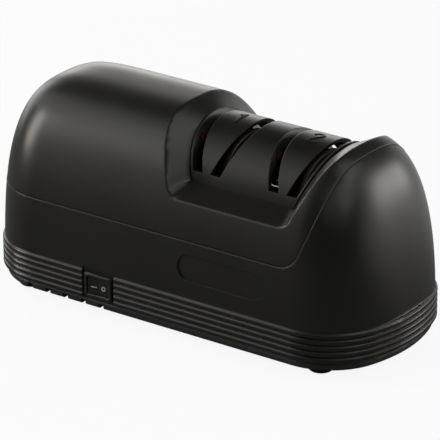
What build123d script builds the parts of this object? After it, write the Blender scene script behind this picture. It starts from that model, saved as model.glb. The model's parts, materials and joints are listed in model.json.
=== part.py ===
from build123d import *
from build123d import SkipClean
import math
import os

# Electric knife sharpener with two V-slot stages over spring-loaded grinding discs.
# Millimetres. X runs along the body, -Y is the front, Z is up.
# The origin is on the table, at the centre of the plan outline.

# ---- outer form -------------------------------------------------------------
body_length = 206.0        # over the ribs
body_width = 90.2          # over the ribs
body_height = 94.0         # table to the top of the dome
corner_radius = 31.8       # plan outline, corner arcs
nose_radius = 75.5         # plan outline, end arcs
wall = 2.4                 # moulded shell
crown_power = 2.9          # roundness of the cross-section
left_end_power = 11.6      # how late the roof starts to fall at the left end
left_end_softness = 2.0    # how roundly it falls
right_end_power = 11.3
right_end_softness = 1.18
station_count = 10         # cross-sections from the middle to each end
station_step = 0.087       # cubic spacing of the cross-sections
arch_steps = 16            # of one cross-section

# ---- ribbed band, base rim and feet -----------------------------------------
foot_height = 2.6          # what a foot lifts the base plate
rim_height = 4.1           # plain rim under the ribs
rim_inset = 2.0            # rim, behind the rib crests
rim_edge_radius = 1.4
rib_count = 5
rib_pitch = 2.77
rib_round = 1.25           # edge radius of one rib
groove_depth = 0.3         # between two ribs, behind the wall
collar_height = 0.3        # plain strip over the top rib, where the wall starts
collar_proud = 0.1
band_proud = 0.9           # rib crest, in front of the wall
floor_thickness = 2.4
lip_clearance = 0.2        # base plate lip inside the housing wall
lip_thickness = 1.2
lip_height = 2.8           # above the rim
foot_x = 78.0
foot_y = 33.0
foot_radius = 5.5
foot_stem_radius = 2.5
foot_barb_radius = 3.1
foot_barb_height = 1.2
foot_stem_clearance = 0.1
foot_chamfer = 0.6
vent_count = 5
vent_pitch = 9.8
vent_middle_x = -51.4
vent_width = 2.6
vent_reach = 16.0          # inwards from the rim

# ---- seam between cover and housing -----------------------------------------
seam_z = 46.1
seam_gap = 0.3
seam_corner_x = 61.2       # where the level seam starts to turn up
seam_corner_radius = 11.0
seam_lean = 22.0           # of the rising part, from vertical, at its foot
seam_top_lean = 6.0        # of the rising part, from vertical, at its top
seam_rise = 36.0           # height over which the lean eases off

# ---- saddle and disc cover --------------------------------------------------
saddle_x = 32.8            # middle of the saddle
saddle_half_length = 32.3  # to the saddle wall, at ledge height
wall_lean = 22.5           # saddle walls, from vertical
ledge_z = 67.3             # ledge height beside the disc cover
ledge_slope = 20.0         # falls outwards
ledge_corner_radius = 6.5  # where a ledge meets a saddle wall
shaft_z = 61.8             # disc shaft and motor axis
cover_radius = 27.8        # half-round disc cover
cover_wall = 2.0
cover_half_length = 26.7   # to its rim, at ledge height
rim_lean = 20.0            # disc cover rims, from vertical
rim_step = 0.7             # disc cover rim, above the shoulder
cover_clearance = 0.15
cover_end_wall = 1.2
rebate_depth = 0.5
skirt_thickness = 1.4
skirt_depth = 3.3
disc_room_radius = 23.4    # free space around the discs
disc_room_gap = 0.9        # and beside the outermost ones
disc_room_z = 72.0         # top of the opening for them in the cover's end walls
shoulder_depth = 11.0      # shoulders run this far below the ledge, inside the shell
shoulder_overrun = 3.0     # and this far past the saddle wall, outside it

# ---- sharpening stages ------------------------------------------------------
stage_pitch = 39.8
slot_lean = 20.0           # half of the V between a stage's two slots
slot_spread = 1.0          # slot planes, out from the stage's middle at shaft height
slot_width = 4.8
slot_end_z = 71.7          # lower end of each slot
guide_thickness = 1.2
guide_bottom_z = 74.2
leaf_thickness = 0.5
leaf_width = 30.0
leaf_top_z = 84.0
disc_radius = 22.7
disc_thickness = 2.2
disc_face_offset = 6.0     # outer disc face, from the middle of its stage
disc_rim_chamfer = 0.4
hub_radius = 7.5
hub_height = 1.6
spring_wire = 1.2
spring_radius = 9.5
spring_turns = 3
wire_facets = 6

# ---- disc shaft and bearings ------------------------------------------------
shaft_radius = 4.0
shaft_flat = 0.6           # depth of the driving flat
running_clearance = 0.05
fixed_clearance = 0.02
ring_thickness = 0.8
ring_radius = 5.6
ring_groove = 0.5
ring_opening = 0.7         # half the opening, as a share of the bore radius
bush_radius = 6.5
block_thickness = 5.0
block_gap = 2.4            # block to the outermost disc face
block_half_width = 13.0
block_cap_radius = 9.5
lug_height = 4.0
lug_screw_shift = 0.6      # cap screw, outwards from the middle of its lug
shaft_end = 1.5            # shaft, past its right block
coupling_radius = 7.5
coupling_length = 10.0
coupling_gap = 1.0         # coupling to the left block
shaft_joint_gap = 0.6      # motor shaft end to disc shaft end

# ---- motor ------------------------------------------------------------------
motor_right_x = -15.0
motor_length = 60.0
motor_radius = 22.0
can_wall = 1.8
magnet_thickness = 4.0
magnet_length = 40.0
magnet_span = 132.0
air_gap = 0.5
stack_length = 34.0
stack_slots = 5
stack_slot_width = 1.6
stack_slot_floor = 0.45    # as a share of the stack radius
winding_radius = 14.0
winding_length = 6.0
winding_round = 0.6        # end rounding, as a share of the winding length
commutator_radius = 6.0
commutator_length = 7.0
brush_size = 4.0
brush_length = 9.0
brush_gap = 0.1
end_cap_thickness = 4.0
end_cap_spigot = 2.0       # into the can
brush_holder_wall = 1.5
brush_holder_end = 1.0
brush_holder_gap = 2.0     # to the commutator
motor_shaft_radius = 2.5
motor_bush_radius = 5.0
motor_nose = 2.0           # bush seat, past each motor end
motor_nose_wall = 2.0
fan_radius = 15.5
fan_thickness = 5.0
fan_disc_thickness = 1.2
fan_gap = 2.5
fan_blades = 9
fan_hub_radius = 6.0
blade_thickness = 1.2

# ---- chassis ----------------------------------------------------------------
chassis_z = 22.0           # underside of the chassis plate
chassis_thickness = 3.0
chassis_left = -70.0
chassis_right = 72.0
chassis_half_width = 28.0
cradle_inset = 8.0         # cradle middle, from each motor end
cradle_thickness = 6.0
cradle_margin = 9.0        # cradle, beside the motor
clamp_thickness = 1.8
clamp_clearance = 0.05
chassis_screw_x = 58.0
chassis_screw_y = 20.0

# ---- screws and posts -------------------------------------------------------
screw_radius = 1.5
screw_head_radius = 2.9
screw_head_height = 2.0
pilot_clearance = 0.05
through_clearance = 0.3
head_clearance = 0.4
post_radius = 4.0
standoff_radius = 4.6
long_screw_x = (-50.0, 32.8)
long_screw_y = 34.4
long_screw_seat_z = 9.0
long_screw_length = 26.0
short_screw_x = 88.0
short_screw_y = 17.0
short_seat_z = 5.4
short_screw_length = 15.0
short_post_z = 11.0
short_post_top_z = 26.0
plate_screw_length = 9.0
gusset_thickness = 2.0
gusset_reach = 1.2         # as a share of the post distance; the wall cuts it

# ---- switch, cord inlet, electrics, pill recess ------------------------------
pad_depth = 0.5            # switch pad, behind the wall
pad_margin = 1.2
switch_x = -32.2
switch_z = 13.5
bezel_width = 15.0
bezel_height = 11.5
bezel_thickness = 0.9
bezel_round = 1.0
switch_body_width = 12.6
switch_body_height = 9.2
switch_body_depth = 13.0
switch_fit = 0.1
rocker_width = 10.4
rocker_height = 7.2
rocker_fit = 0.25          # above and below the rocker
rocker_end_fit = 0.6       # beside its two ends, for the throw
rocker_depth = 4.6
rocker_proud = 0.05
rocker_dish = 0.6
rocker_pivot_radius = 1.0
rocker_pivot_depth = 3.6   # pivot, behind the bezel face
rocker_half_throw = 5.0    # degrees to each side of the middle
rocker_taper = 0.4         # of each end, towards the back
rocker_back_depth = 2.2    # of the part that narrows to the back
rocker_back_half = 1.6
pivot_hole_wall = 0.3      # switch body left above and below the pivot hole
pivot_pin_wall = 0.5       # and above and below the pin
pocket_depth = 6.2
terminal_width = 4.8
terminal_thickness = 0.8
terminal_length = 7.0
terminal_pitch = 7.0
inlet_x = -60.0
inlet_z = 13.6
inlet_bore_radius = 3.3
inlet_sleeve_radius = 4.8
inlet_flange_radius = 6.4
inlet_flange_thickness = 1.2
inlet_inner_flange = 1.6
inlet_length = 9.0
inlet_fit = 0.1
board_length = 34.0
board_width = 22.0
board_thickness = 1.6
board_x = -18.0
board_post_radius = 2.6
board_post_z = 10.0
capacitor_size = (13.0, 6.0, 5.8)
capacitor_x = -4.5         # its middle, from the board middle
capacitor_gap = 1.0        # in front of the board middle
bridge_size = (9.0, 9.0, 3.2)
bridge_x = 4.0             # its left end, from the board middle
part_seat = 0.05
pill_x = 32.5
pill_z = 34.6
pill_length = 45.4
pill_height = 12.2
pill_depth = 0.8

# ---- worked-out places ------------------------------------------------------
rim_z = foot_height + rim_height
band_height = rib_count * rib_pitch
band_top = rim_z + band_height
collar_z = band_top + collar_height
floor_z = foot_height + floor_thickness
crown_base = rim_z
wall_y = body_width / 2 - band_proud
ledge_y = math.sqrt(cover_radius**2 - (ledge_z - shaft_z)**2)
stage_x = (saddle_x - stage_pitch / 2, saddle_x + stage_pitch / 2)
chassis_top = chassis_z + chassis_thickness
motor_left_x = motor_right_x - motor_length
left_block_x = stage_x[0] - disc_face_offset - block_gap - block_thickness
right_block_x = stage_x[1] + disc_face_offset + block_gap
pad_y = -(wall_y - pad_depth)
bezel_y = pad_y - bezel_thickness
far = 300.0


# ---- helpers ----------------------------------------------------------------
def bar(x0, x1, y0, y1, z0, z1):
    """A block between two corners."""
    return Pos((x0 + x1) / 2, (y0 + y1) / 2, (z0 + z1) / 2) * Box(x1 - x0, y1 - y0, z1 - z0)


def post(x, y, radius, z0, z1):
    """An upright cylinder."""
    return Pos(x, y, (z0 + z1) / 2) * Cylinder(radius, z1 - z0)


def rod(x0, x1, radius, y=0.0, z=shaft_z):
    """A cylinder along X, on the shaft axis unless told otherwise."""
    return Pos((x0 + x1) / 2, y, z) * Rot(0, 90, 0) * Cylinder(radius, x1 - x0)


def pipe(x0, x1, outer, inner):
    """A sleeve along the shaft axis."""
    return rod(x0, x1, outer) - rod(x0 - 1, x1 + 1, inner)


def side_prism(points, half_depth=far):
    """An X-Z outline, carried through the body along Y."""
    face = Face(Wire([Edge.make_line((a[0], half_depth, a[1]), (b[0], half_depth, b[1]))
                      for a, b in zip(points, points[1:] + points[:1])]))
    return Solid.extrude(face, Vector(0, -2 * half_depth, 0))


def screw(x, y, seat_z, length, head_down=False):
    """A pan-head screw: head beyond its seat, shank through it."""
    side = -1 if head_down else 1
    head = post(x, y, screw_head_radius, *sorted((seat_z, seat_z + side * screw_head_height)))
    shank = post(x, y, screw_radius, *sorted((seat_z, seat_z - side * length)))
    return head + shank


def both(values):
    """Each value with both signs."""
    return [s * v for v in values for s in (-1, 1)]


# ---- the loaf: plan outline of three arc sizes, superelliptic sections -------
def plan_arcs(inset):
    half_length = body_length / 2 - inset
    half_width = body_width / 2 - inset
    corner = corner_radius - inset
    nose = nose_radius - inset
    centre_y = half_width - corner
    centre_x = half_length - nose + math.sqrt((nose - corner)**2 - centre_y**2)
    turn = math.atan2(centre_y, centre_x - (half_length - nose))
    return half_length, half_width, corner, nose, centre_x, centre_y, turn


def plan_face(inset=0.0):
    """The plan outline as a face on the table."""
    half_length, half_width, corner, nose, centre_x, centre_y, turn = plan_arcs(inset)
    join_x = half_length - nose + nose * math.cos(turn)
    join_y = nose * math.sin(turn)
    middle = (turn + math.pi / 2) / 2
    mid_x = centre_x + corner * math.cos(middle)
    mid_y = centre_y + corner * math.sin(middle)
    edges = []
    for s in (1, -1):
        edges += [
            Edge.make_three_point_arc((s * join_x, -s * join_y), (s * half_length, 0), (s * join_x, s * join_y)),
            Edge.make_three_point_arc((s * join_x, s * join_y), (s * mid_x, s * mid_y), (s * centre_x, s * half_width)),
            Edge.make_line((s * centre_x, s * half_width), (-s * centre_x, s * half_width)),
            Edge.make_three_point_arc((-s * centre_x, s * half_width), (-s * mid_x, s * mid_y),
                                      (-s * join_x, s * join_y)),
        ]
    return Face(Wire(edges))


def slab(z0, z1, inset=0.0):
    """The plan outline, inset and raised between two heights."""
    return extrude(Pos(0, 0, z0) * plan_face(inset), z1 - z0)


def half_width_at(x, inset):
    half_length, half_width, corner, nose, centre_x, centre_y, turn = plan_arcs(inset)
    x = abs(x)
    if x <= centre_x:
        return half_width
    if x <= half_length - nose + nose * math.cos(turn):
        return centre_y + math.sqrt(corner**2 - (x - centre_x)**2)
    return math.sqrt(nose**2 - (x - half_length + nose)**2)


def crown_height_at(x, inset):
    power, softness = (left_end_power, left_end_softness) if x < 0 else (right_end_power, right_end_softness)
    share = 1 - abs(x / (body_length / 2 - inset))**power
    return (body_height + band_proud - inset - crown_base) * share**(1 / softness)


def crown_point(half_width, height, angle):
    c, s = math.cos(angle), math.sin(angle)
    y = math.copysign(half_width * abs(c)**(2 / crown_power), c)
    return y, crown_base + height * abs(s)**(2 / crown_power)


def loaf(inset=band_proud):
    """The closed outer form, shrunk by an inset from the rib crests."""
    half_length = body_length / 2 - inset
    reach = [half_length * (1 - (1 - station_step * i)**3) for i in range(station_count + 1)]
    wires = []
    for x in sorted({s * r for r in reach for s in (-1, 1)}):
        width, height = half_width_at(x, inset), crown_height_at(x, inset)
        arch = [Vector(x, *crown_point(width, height, math.pi * i / arch_steps)) for i in range(arch_steps + 1)]
        spline = Edge.make_spline(arch, tangents=[Vector(0, 0, 1), Vector(0, 0, -1)])
        wires.append(Wire([spline, Edge.make_line(arch[-1], arch[0])]))
    return Solid.make_loft(wires)


# ---- the saddle --------------------------------------------------------------
def saddle_half(z, t=0.0):
    """Half the saddle's length at a height, with its walls moved out by t."""
    lean = math.radians(wall_lean)
    return saddle_half_length + (z - ledge_z) * math.tan(lean) + t / math.cos(lean)


def rim_half(z, t=0.0):
    """Half the disc cover's length at a height, with its rims moved out by t."""
    lean = math.radians(rim_lean)
    return cover_half_length + (z - ledge_z) * math.tan(lean) + t / math.cos(lean)


def leaning_block(half, z0, z1, t=0.0):
    """A block along the saddle whose two ends lean outwards."""
    return side_prism([(saddle_x - half(z0, t), z0), (saddle_x + half(z0, t), z0),
                       (saddle_x + half(z1, t), z1), (saddle_x - half(z1, t), z1)])


def saddle_cut(t=0.0):
    """All that lies above the ledges, from a little behind one saddle wall to behind the other."""
    slope = math.radians(ledge_slope)
    drop = t / math.cos(slope)
    outer_y = body_width
    outer_z = ledge_z - drop - (outer_y - ledge_y) * math.tan(slope)
    top = body_height + wall * 4
    points = [(-outer_y, outer_z), (-ledge_y, ledge_z - drop), (ledge_y, ledge_z - drop), (outer_y, outer_z),
              (outer_y, top), (-outer_y, top)]
    face = Face(Wire([Edge.make_line((-far, *a), (-far, *b)) for a, b in zip(points, points[1:] + points[:1])]))
    above = Solid.extrude(face, Vector(2 * far, 0, 0))
    return above & leaning_block(saddle_half, ledge_z - 3 * shoulder_depth, top, t + shoulder_overrun)


def wall_point(side, share):
    """A point of the edge where the dome meets a saddle wall, front foot to rear foot."""
    low_z = ledge_z - shoulder_depth
    z = low_z
    for _ in range(6):
        x = saddle_x + side * saddle_half(z)
        width, height = half_width_at(x, band_proud), crown_height_at(x, band_proud)
        start = math.asin(((low_z - crown_base) / height)**(crown_power / 2))
        y, z = crown_point(width, height, start + (math.pi - 2 * start) * share)
    return Vector(x, y, z)


def rim_point(side, share):
    """A point of the shoulder's rim around the disc cover, front foot to rear foot."""
    radius = cover_radius - rim_step
    dip = math.asin(-shoulder_depth * 0.5 / radius)
    angle = dip + (math.pi - 2 * dip) * share
    z = shaft_z + radius * math.sin(angle)
    return Vector(saddle_x + side * rim_half(z), radius * math.cos(angle), z)


def meet(a, b, side, half, t):
    """Where the line through a and b crosses a leaning plane of the saddle."""
    fa = side * (a.X - saddle_x) - half(a.Z, t)
    fb = side * (b.X - saddle_x) - half(b.Z, t)
    return a + (b - a) * (fa / (fa - fb))


def shoulder(side, t=0.0, past=0.0):
    """The ruled slope from a saddle wall's arch down to the disc cover's rim, moved in by t."""
    count = 14
    step = 0.002
    big, small = [], []
    for i in range(count + 1):
        share = min(max(i / count, step), 1 - step)
        ruling = wall_point(side, i / count) - rim_point(side, i / count)
        ends = []
        for at in (wall_point, rim_point):
            normal = ruling.cross(at(side, share + step) - at(side, share - step)).normalized()
            ends.append(at(side, i / count) + normal * math.copysign(t, side * normal.X))
        big.append(meet(ends[1], ends[0], side, saddle_half, t + shoulder_overrun + 1))
        small.append(meet(ends[1], ends[0], side, rim_half, -past))
    wires = [Wire([Edge.make_spline(points), Edge.make_line(points[-1], points[0])]) for points in (big, small)]
    return Solid.make_loft(wires, ruled=True)


def ledge_corners(cut):
    """The four edges of the saddle cutter where a ledge runs into a saddle wall."""
    return [edge for edge in cut.edges()
            if ledge_z - shoulder_depth < edge.center().Z < ledge_z
            and abs(edge.center().Y) > ledge_y
            and edge.length > shoulder_depth]


def saddled_form(t=0.0, past=0.0, corner=0.0):
    """The outer form with its saddle and shoulders, moved in by t, with rounded ledge corners."""
    cut = saddle_cut(t)
    for side in (-1, 1):
        cut = cut - shoulder(side, t, past)
    if corner:
        cut = cut.fillet(corner, ledge_corners(cut))
    return loaf(band_proud + t) - cut


def upper_zone(gap=0.0):
    """All that lies above the seam, less a gap."""
    lean = math.radians(seam_lean)
    top_lean = math.radians(seam_top_lean)
    z = seam_z + gap
    radius = seam_corner_radius - gap
    start = (seam_corner_x, z)
    centre = (seam_corner_x, z + radius)
    turn = math.pi / 2 - lean
    middle = (centre[0] + radius * math.sin(turn / 2), centre[1] - radius * math.cos(turn / 2))
    corner = (centre[0] + radius * math.sin(turn), centre[1] - radius * math.cos(turn))
    ease = (lean + top_lean) / 2
    top = (corner[0] + seam_rise * math.tan(ease), corner[1] + seam_rise)
    end = (top[0] + far * math.tan(top_lean), top[1] + far)

    def at(p):
        return Vector(p[0], far, p[1])

    edges = [
        Edge.make_line(at((-far, z)), at(start)),
        Edge.make_three_point_arc(at(start), at(middle), at(corner)),
        Edge.make_tangent_arc(at(corner), Vector(math.sin(lean), 0, math.cos(lean)), at(top)),
        Edge.make_line(at(top), at(end)),
        Edge.make_line(at(end), at((-far, end[1]))),
        Edge.make_line(at((-far, end[1])), at((-far, z))),
    ]
    return Solid.extrude(Face(Wire(edges)), Vector(0, -2 * far, 0))


outer_form = saddled_form(corner=ledge_corner_radius)
inner_form = saddled_form(wall, past=wall)
shell = outer_form - inner_form


# ---- housings ----------------------------------------------------------------
def ribbed_band():
    """The straight wall behind the ribs, with its full-round ribs."""
    band = slab(rim_z, band_top, band_proud + groove_depth)
    rib = slab(rim_z, rim_z + rib_pitch)
    rims = rib.faces().sort_by(Axis.Z)[0].edges() + rib.faces().sort_by(Axis.Z)[-1].edges()
    rib = fillet(rims, rib_round)
    ribs = [Pos(0, 0, i * rib_pitch) * rib for i in range(rib_count)]
    band = band.fuse(*ribs, slab(band_top - rib_round, collar_z, band_proud - collar_proud))
    return band - slab(rim_z - 1, far, band_proud + groove_depth + wall)


def switch_window(grow, y0, y1):
    """The switch body's outline as a cutter."""
    w = switch_body_width / 2 + grow
    h = switch_body_height / 2 + grow
    return bar(switch_x - w, switch_x + w, y0, y1, switch_z - h, switch_z + h)


def pill_cutter():
    straight = pill_length - pill_height
    outline = Plane.XZ * Pos(pill_x, pill_z) * SlotCenterToCenter(straight, pill_height)
    return extrude(outline, body_width) - loaf(band_proud + pill_depth)


def make_lower_housing():
    lower = shell.cut(upper_zone(), bar(-far, far, -far, far, -far, collar_z))
    lower = lower.fuse(ribbed_band(), glue=True)
    inside = loaf(band_proud + wall / 2).fuse(slab(rim_z, band_top, band_proud + groove_depth + wall / 2))
    added = []
    half = bezel_width / 2 + pad_margin
    cuts = [
        pill_cutter(),
        bar(switch_x - half, switch_x + half, -body_width, pad_y, rim_z - 1, band_top + 1),
        switch_window(switch_fit, -body_width, 0),
        inlet_rod(inlet_flange_radius + pad_margin, wall_y - groove_depth, body_width),
        inlet_rod(inlet_sleeve_radius + inlet_fit, 0, body_width),
    ]
    for x in both((short_screw_x,)):
        for y in both((short_screw_y,)):
            stem = post(x, y, post_radius, short_post_z, short_post_top_z)
            x0, x1 = sorted((x, x * gusset_reach))
            web = bar(x0, x1, y - gusset_thickness / 2, y + gusset_thickness / 2,
                      short_post_z, short_post_top_z)
            added.append((stem + web) & inside)
            cuts.append(post(x, y, screw_radius + pilot_clearance, short_post_z - 1,
                             short_post_z + short_screw_length))
    return lower.fuse(*added).cut(*cuts)


def inlet_rod(radius, y0, y1):
    """A cylinder along Y at the cord inlet."""
    return Pos(inlet_x, (y0 + y1) / 2, inlet_z) * Rot(90, 0, 0) * Cylinder(radius, y1 - y0)


def make_upper_cover():
    z0 = ledge_z - rebate_depth
    y = ledge_y + cover_clearance
    opening_y = math.sqrt((cover_radius - cover_wall)**2 - (z0 - shaft_z)**2) - 2 * cover_clearance
    across = bar(-far, far, -opening_y, opening_y, 0, body_height)
    rebate = bar(-far, far, -y, y, z0, body_height)
    cuts = [leaning_block(rim_half, ledge_z - shoulder_depth, ledge_z + 1) & across,
            leaning_block(rim_half, z0, body_height) & rebate,
            rod(stage_x[0] - disc_face_offset - disc_room_gap, stage_x[1] + disc_face_offset + disc_room_gap,
                disc_room_radius)]
    inside = saddled_form(wall / 2, past=wall)
    posts = []
    for x in long_screw_x:
        for s in (-1, 1):
            posts.append(post(x, s * long_screw_y, post_radius, chassis_z, body_height) & inside)
            cuts.append(post(x, s * long_screw_y, screw_radius + pilot_clearance, chassis_z - 1,
                             long_screw_seat_z + long_screw_length + 1))
    return (shell & upper_zone(seam_gap)).fuse(*posts).cut(*cuts)


def make_base_plate():
    plate = slab(foot_height, rim_z, rim_inset)
    plate = fillet(plate.faces().sort_by(Axis.Z)[0].edges(), rim_edge_radius)
    lip_outer = band_proud + groove_depth + wall + lip_clearance
    plate = plate + slab(floor_z, rim_z + lip_height, lip_outer)
    plate = plate - slab(floor_z, far, lip_outer + lip_thickness)
    window = bezel_width / 2 + pad_margin
    plate = plate - bar(switch_x - window, switch_x + window, -body_width, -wall_y + wall + 3 * lip_thickness,
                        rim_z, far)
    reach = inlet_flange_radius + pad_margin
    plate = plate - bar(inlet_x - reach, inlet_x + reach, wall_y - wall - 3 * lip_thickness, body_width, rim_z, far)
    for i in range(vent_count):
        x = vent_middle_x + (i - (vent_count - 1) / 2) * vent_pitch
        for s in (-1, 1):
            y0, y1 = sorted((s * body_width, s * (body_width / 2 - vent_reach)))
            plate = plate - bar(x - vent_width / 2, x + vent_width / 2, y0, y1, 0, floor_z)
    for x in both((foot_x,)):
        for y in both((foot_y,)):
            plate = plate - post(x, y, foot_stem_radius + foot_stem_clearance, 0, floor_z + 1)
    for x in long_screw_x:
        for y in both((long_screw_y,)):
            plate = plate + post(x, y, standoff_radius, foot_height, chassis_z)
            plate = plate - post(x, y, screw_radius + through_clearance, 0, chassis_z + 1)
            plate = plate - post(x, y, screw_head_radius + head_clearance, 0, long_screw_seat_z)
    for x in both((short_screw_x,)):
        for y in both((short_screw_y,)):
            plate = plate + post(x, y, standoff_radius, foot_height, short_post_z)
            plate = plate - post(x, y, screw_radius + through_clearance, 0, short_post_z + 1)
            plate = plate - post(x, y, screw_head_radius + head_clearance, 0, short_seat_z)
    for x in both((chassis_screw_x,)):
        for y in both((chassis_screw_y,)):
            plate = plate + post(x, y, standoff_radius, foot_height, chassis_z)
            plate = plate - post(x, y, screw_radius + pilot_clearance, chassis_top - plate_screw_length - 1,
                                 chassis_z + 1)
    for x, y in board_corners():
        plate = plate + post(x, y, board_post_radius, foot_height, board_post_z)
    return plate


def make_feet():
    feet = []
    for x in both((foot_x,)):
        for y in both((foot_y,)):
            pad = post(x, y, foot_radius, 0, foot_height)
            pad = chamfer(pad.edges().sort_by(Axis.Z)[0], foot_chamfer)
            stem = post(x, y, foot_stem_radius, foot_height, floor_z + foot_barb_height)
            barb = post(x, y, foot_barb_radius, floor_z, floor_z + foot_barb_height)
            feet.append(pad + stem + barb)
    return feet


# ---- disc cover and its guides ------------------------------------------------
def slot_block(x, side, x0, x1, z0, z1, width=far):
    """A block standing in a slot's own leaning frame; x0 and x1 count outwards from the slot plane."""
    place = Pos(x + side * slot_spread, 0, shaft_z) * Rot(0, side * slot_lean, 0)
    low, high = sorted((side * x0, side * x1))
    return place * bar(low, high, -width / 2, width / 2, z0, z1)


def make_slot_cover():
    z0 = ledge_z - rebate_depth
    above = bar(-far, far, -far, far, z0, body_height)
    inner = cover_radius - cover_wall
    dome = rod(-far, far, cover_radius) & above & leaning_block(rim_half, z0 - 1, body_height, -cover_clearance)
    hollow = rod(-far, far, inner) & leaning_block(rim_half, z0 - 2, body_height,
                                                   -cover_clearance - cover_end_wall)
    cover = dome - hollow
    opening_y = math.sqrt(inner**2 - (z0 - shaft_z)**2) - 2 * cover_clearance - cover_clearance
    for s in (-1, 1):
        y0, y1 = sorted((s * opening_y, s * (opening_y - skirt_thickness)))
        skirt = bar(-far, far, y0, y1, z0 - skirt_depth, z0 + skirt_depth)
        trim = leaning_block(rim_half, z0 - skirt_depth - 1, body_height, -cover_clearance - 2 * cover_end_wall)
        cover = cover + (skirt & trim & rod(-far, far, cover_radius - cover_wall / 2))
    opening = bar(-far, far, -disc_room_radius, disc_room_radius, 0, disc_room_z)
    cover = cover - (opening & leaning_block(rim_half, z0 - 1, body_height, cover_clearance))
    room = rod(-far, far, cover_radius - cover_wall / 2)
    room = room & leaning_block(rim_half, z0, body_height, -cover_clearance - cover_end_wall / 2)
    for x in stage_x:
        for side in (-1, 1):
            guide = slot_block(x, side, slot_width / 2, slot_width / 2 + guide_thickness, 0, far)
            cover = cover + (guide & room & bar(-far, far, -far, far, guide_bottom_z, body_height))
    slots = [slot_block(x, side, -slot_width / 2, slot_width / 2, 0, far) & bar(-far, far, -far, far, slot_end_z, far)
             for x in stage_x for side in (-1, 1)]
    left = (cover & bar(-far, saddle_x, -far, far, 0, far)).cut(*slots)
    right = (cover & bar(saddle_x, far, -far, far, 0, far)).cut(*slots)
    with SkipClean():
        return left.fuse(right)


def make_guide_springs():
    """Flat leaf on the outer guide of each slot, pressed against the blade."""
    leaves = []
    for x in stage_x:
        for side in (-1, 1):
            leaf = slot_block(x, side, slot_width / 2 - leaf_thickness, slot_width / 2, 0, far, leaf_width)
            leaves.append(leaf & bar(-far, far, -far, far, guide_bottom_z, leaf_top_z)
                          & rod(-far, far, cover_radius - cover_wall))
    return leaves


# ---- disc shaft ---------------------------------------------------------------
def flat_cut(x0, x1, clearance=0.0):
    """The space over the shaft's driving flat."""
    level = shaft_z + shaft_radius - shaft_flat + clearance
    return bar(x0, x1, -far, far, level, level + far)


def ring_places():
    """Where each retaining ring starts: just outside each disc."""
    places = []
    for x in stage_x:
        places += [x - disc_face_offset - ring_thickness, x + disc_face_offset]
    return places


def make_wheel_shaft():
    x0 = left_block_x - coupling_gap - coupling_length / 2 + shaft_joint_gap / 2
    x1 = right_block_x + block_thickness + shaft_end
    shaft = rod(x0, x1, shaft_radius)
    first = stage_x[0] - disc_face_offset
    last = stage_x[1] + disc_face_offset
    shaft = shaft - flat_cut(first, last)
    for x in ring_places():
        groove = rod(x, x + ring_thickness, far) - rod(x - 1, x + 1 + ring_thickness, shaft_radius - ring_groove)
        shaft = shaft - (groove & rod(x, x + ring_thickness, shaft_radius + 1))
    return shaft


def make_retaining_rings():
    rings = []
    for x in ring_places():
        bore = shaft_radius - ring_groove + fixed_clearance
        ring = pipe(x, x + ring_thickness, ring_radius, bore)
        gap = bar(x - 1, x + ring_thickness + 1, -bore * ring_opening, bore * ring_opening, shaft_z - far, shaft_z)
        rings.append(ring - gap)
    return rings


def make_disc(stage, side):
    """A grinding disc whose hub points to the middle of its stage."""
    outer = stage + side * disc_face_offset
    inner = outer - side * disc_thickness
    hub_end = inner - side * hub_height
    plate = rod(*sorted((outer, inner)), disc_radius)
    rims = plate.edges().filter_by(GeomType.CIRCLE)
    disc = chamfer(rims, disc_rim_chamfer) + rod(*sorted((inner, hub_end)), hub_radius)
    x0, x1 = sorted((outer, hub_end))
    bore = rod(x0 - 1, x1 + 1, shaft_radius + running_clearance) - flat_cut(x0 - 2, x1 + 2, running_clearance)
    return disc - bore


def make_disc_spring(stage):
    """The compression spring that keeps a stage's two discs apart."""
    half = disc_face_offset - disc_thickness - part_seat - spring_wire / 2
    pitch = 2 * half / spring_turns
    path = Pos(stage - half, 0, shaft_z) * Rot(0, 90, 0) * Helix(pitch, 2 * half, spring_radius)
    section = Plane(path @ 0, z_dir=path % 0) * RegularPolygon(spring_wire / 2, wire_facets)
    return sweep(section, path=path, is_frenet=True)


def make_shaft_coupling():
    x1 = left_block_x - coupling_gap
    x0 = x1 - coupling_length
    middle = (x0 + x1) / 2
    body = rod(x0, x1, coupling_radius)
    body = body - rod(x0 - 1, middle, motor_shaft_radius + fixed_clearance)
    return body - rod(middle, x1 + 1, shaft_radius + fixed_clearance)


def block_places():
    return left_block_x, right_block_x


def make_shaft_bushes():
    return [pipe(x, x + block_thickness, bush_radius - fixed_clearance, shaft_radius + running_clearance)
            for x in block_places()]


def cap_screw_places():
    """Screws that hold the bearing caps and the motor clamps, as x, y and seat height."""
    places = []
    for x in block_places():
        for y in both(((block_half_width + bush_radius) / 2 + lug_screw_shift,)):
            places.append((x + block_thickness / 2, y, shaft_z + lug_height))
    for x in cradle_places():
        for y in both((motor_radius + clamp_thickness + (cradle_margin - clamp_thickness) / 2,)):
            places.append((x, y, shaft_z + clamp_thickness))
    return places


def drill_pilots(body):
    for x, y, seat in cap_screw_places():
        body = body - post(x, y, screw_radius + pilot_clearance, seat - plate_screw_length - 1, far)
    return body


def make_bearing_caps():
    caps = []
    for x in block_places():
        x1 = x + block_thickness
        cap = bar(x, x1, -block_half_width, block_half_width, shaft_z, shaft_z + lug_height)
        cap = cap + (rod(x, x1, block_cap_radius) & bar(x, x1, -far, far, shaft_z, far))
        cap = cap - rod(x - 1, x1 + 1, bush_radius)
        for px, py, seat in cap_screw_places():
            cap = cap - post(px, py, screw_radius + through_clearance, shaft_z - 1, seat)
            cap = cap - post(px, py, screw_head_radius + head_clearance, seat, far)
        caps.append(cap)
    return caps


# ---- chassis and motor mounting -------------------------------------------------
def cradle_places():
    return motor_left_x + cradle_inset, motor_right_x - cradle_inset


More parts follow.
